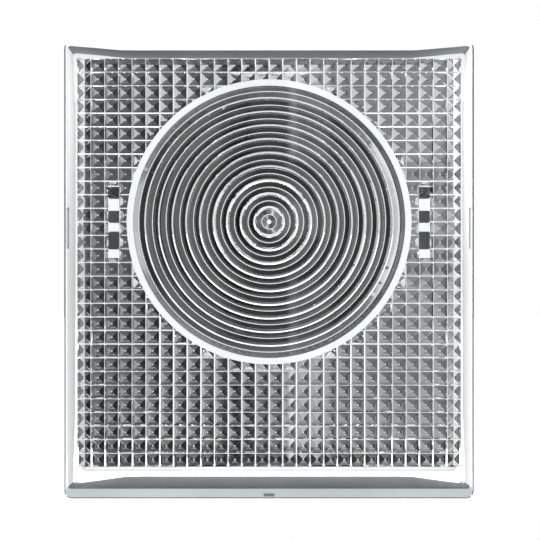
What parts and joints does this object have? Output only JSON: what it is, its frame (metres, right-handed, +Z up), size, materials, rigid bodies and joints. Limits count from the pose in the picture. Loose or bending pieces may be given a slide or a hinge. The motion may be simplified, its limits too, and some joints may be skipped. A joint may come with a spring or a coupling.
{
  "type": "pedestrian push button",
  "caption": "Pedestrian push button: a clear prismatic palm tile with a ring lens slides on sprung guide posts in a lit, wall-mounted housing and works a lever switch.",
  "frame": {"origin": "centre of the back mounting face, where the foam gasket meets the wall or pole plate", "axes": "+Z up, +Y out of the back into the wall, the tile faces -Y and +X is to the viewer's right"},
  "size_m": [0.086, 0.065, 0.096],
  "materials": {
    "clear_plastic": "clear moulded polycarbonate, polished",
    "opal_plastic": "opal white light diffuser",
    "white_plastic": "satin white moulding",
    "case_plastic": "fine-grained mid grey moulding",
    "foam_rubber": "closed-cell foam",
    "black_rubber": "smooth rubber",
    "grey_rubber": "satin rubber",
    "acetal": "machined acetal",
    "black_plastic": "fine moulded",
    "green_plastic": "moulded",
    "red_plastic": "moulded",
    "board": "solder mask on glass-fibre board",
    "led": "white LED packages",
    "stainless": "turned stainless steel",
    "spring_steel": "drawn spring steel",
    "brass": "tinned brass"
  },
  "bodies": {
    "housing": {"wall_gasket": "foam_rubber", "back_shell": "case_plastic", "cable_grommet": "black_rubber", "frame_seal": "black_rubber", "front_frame": "case_plastic", "frame_screws": "stainless", "guide_bushes": "acetal", "bump_stops": "grey_rubber", "bellows_seal": "grey_rubber", "return_springs": "spring_steel", "pin_seal": "black_rubber", "light_board": "board", "leds": "led", "light_cup": "white_plastic", "board_screws": "stainless", "switch_body": "black_plastic", "switch_terminals": "brass", "switch_bracket": "stainless", "switch_screws": "stainless", "bracket_screws": "stainless", "terminal_block": "green_plastic", "terminal_screws": "stainless"},
    "tile": {"palm_tile": "clear_plastic", "diffuser": "opal_plastic", "carrier": "white_plastic", "guide_posts": "stainless", "retaining_clips": "spring_steel", "actuator_pin": "stainless"},
    "lever": {"switch_lever": "stainless"},
    "plunger": {"switch_plunger": "red_plastic"}
  },
  "joints": [
    {"name": "tile_press", "type": "slide", "parent": "housing", "child": "tile", "axis": [0, 1, 0], "range_m": [0, 0.003], "stiffness_N_per_m": 2000, "springref_m": -0.003, "deforming": ["return_springs", "bellows_seal"]},
    {"name": "lever_swing", "type": "hinge", "parent": "housing", "child": "lever", "pos_m": [-0.009, -0.0222, -0.0328], "axis": [0, 0, 1], "range_deg": [0, 10]},
    {"name": "plunger_slide", "type": "slide", "parent": "housing", "child": "plunger", "axis": [0, 1, 0], "range_m": [0, 0.00096]}
  ],
  "couplings": [
    {"joint": "lever_swing", "follows": "tile_press", "rad_per_m": 57},
    {"joint": "plunger_slide", "follows": "tile_press", "ratio": 0.319}
  ]
}
